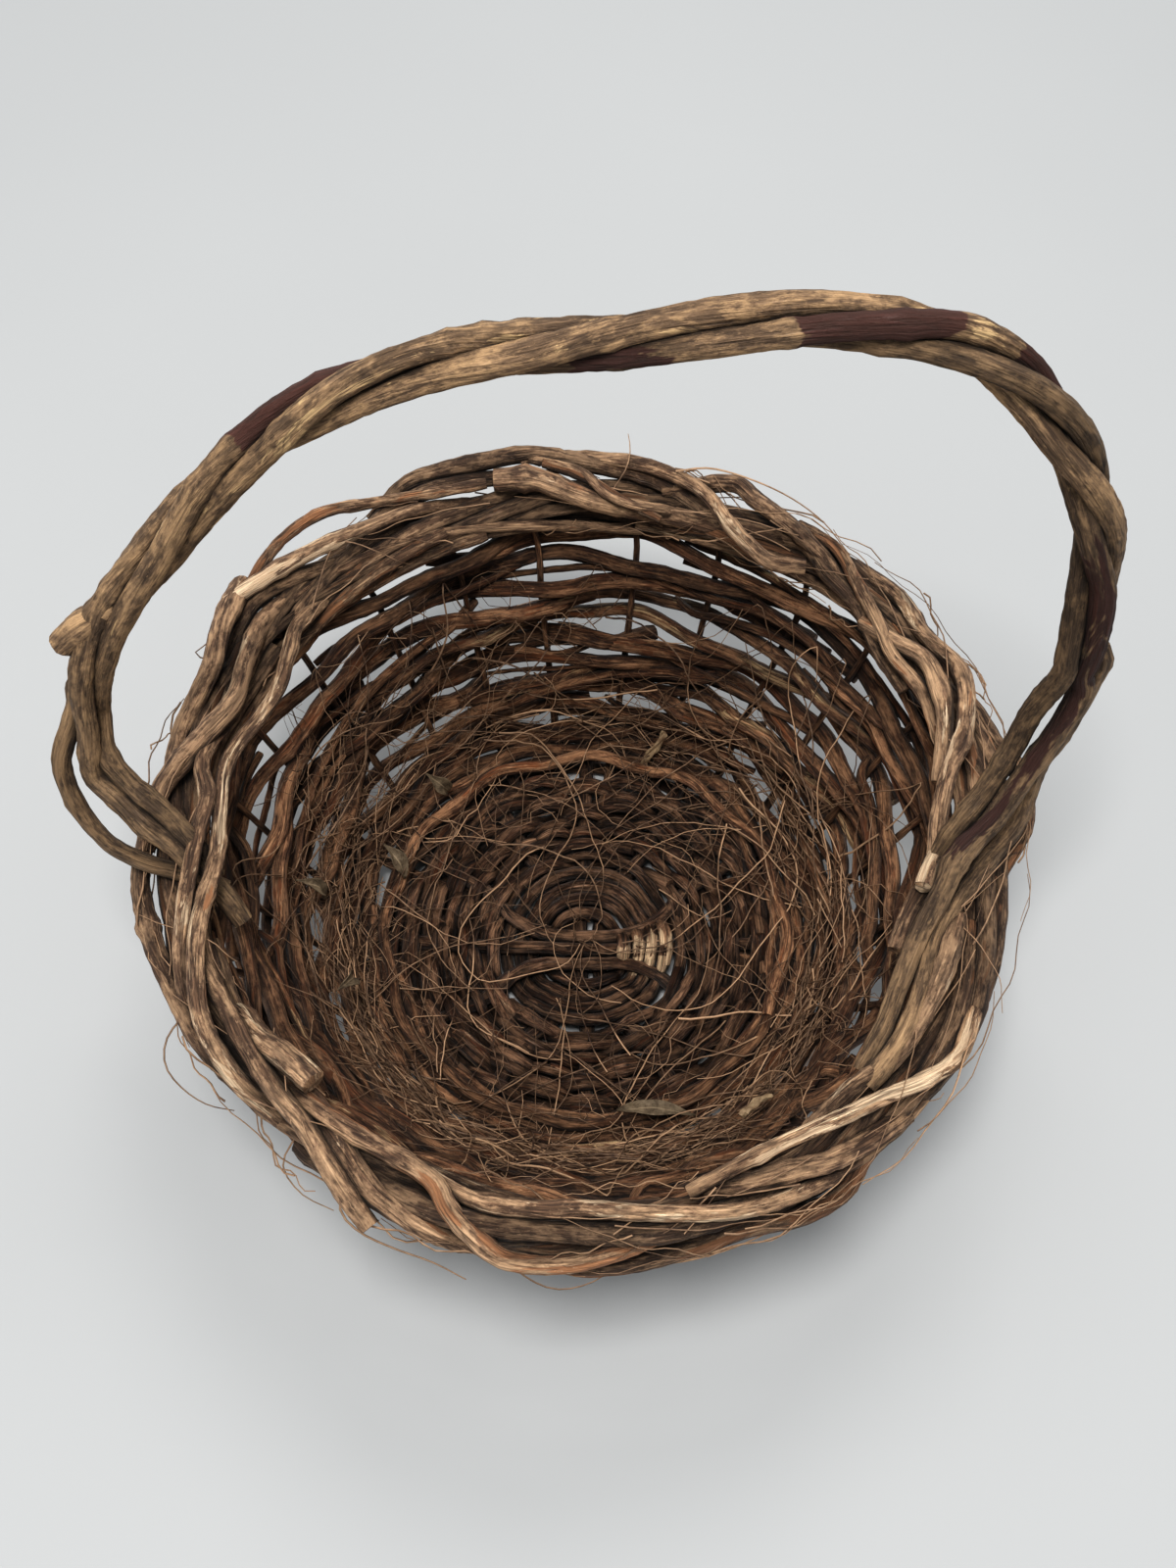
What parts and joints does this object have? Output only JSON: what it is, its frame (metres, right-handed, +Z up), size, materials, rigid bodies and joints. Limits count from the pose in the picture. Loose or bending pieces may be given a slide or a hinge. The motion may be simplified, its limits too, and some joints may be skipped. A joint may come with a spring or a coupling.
{
  "type": "wicker log basket",
  "caption": "Round rustic basket of unpeeled vine rods with a woven round base, flared wall, thick wound rim and a rigid twisted overhead handle.",
  "frame": {"origin": "centre of the basket's round base on the ground plane", "axes": "+Z up; +X across the basket from the handle's left foot to its right foot; +Y the way the handle's crown leans"},
  "size_m": [0.4479, 0.3992, 0.4089],
  "materials": {
    "base_stick": "dark unpeeled bark, matte",
    "base_rod": "dark unpeeled bark, matte",
    "stake_rod": "brown unpeeled bark, matte",
    "wall_rod": "reddish brown unpeeled bark, matte",
    "rim_vine": "grey-brown bark with peeled tan patches, matte",
    "handle_vine": "grey-brown bark with tan and red-brown patches, matte"
  },
  "bodies": {
    "root": {"base_stick_across_1": "base_stick", "base_stick_across_2": "base_stick", "base_stick_across_3": "base_stick", "base_stick_along_1": "base_stick", "base_stick_along_2": "base_stick", "base_stick_along_3": "base_stick", "base_tie_round_1": "base_rod", "base_tie_round_2": "base_rod", "base_round_1": "base_rod", "base_round_2": "base_rod", "base_round_3": "base_rod", "base_round_4": "base_rod", "base_round_5": "base_rod", "base_round_6": "base_rod", "base_round_7": "base_rod", "base_edge_rod": "base_rod", "foot_ring": "base_rod", "stake_01": "stake_rod", "stake_02": "stake_rod", "stake_03": "stake_rod", "stake_04": "stake_rod", "stake_05": "stake_rod", "stake_06": "stake_rod", "stake_07": "stake_rod", "stake_08": "stake_rod", "stake_09": "stake_rod", "stake_10": "stake_rod", "stake_11": "stake_rod", "stake_12": "stake_rod", "stake_13": "stake_rod", "stake_14": "stake_rod", "stake_15": "stake_rod", "stake_16": "stake_rod", "stake_17": "stake_rod", "stake_18": "stake_rod", "stake_19": "stake_rod", "stake_20": "stake_rod", "stake_21": "stake_rod", "stake_22": "stake_rod", "stake_23": "stake_rod", "stake_24": "stake_rod", "wall_round_01": "wall_rod", "wall_round_02": "wall_rod", "wall_round_03": "wall_rod", "wall_round_04": "wall_rod", "wall_round_05": "wall_rod", "wall_round_06": "wall_rod", "wall_round_07": "wall_rod", "wall_round_08": "wall_rod", "wall_round_09": "wall_rod", "wall_round_10": "wall_rod", "wall_round_11": "wall_rod", "rim_vine_1": "rim_vine", "rim_vine_2": "rim_vine", "rim_vine_3": "rim_vine", "rim_vine_4": "rim_vine", "rim_vine_5": "rim_vine", "handle_vine_1": "handle_vine", "handle_vine_2": "handle_vine", "handle_vine_3": "handle_vine"}
  },
  "joints": []
}
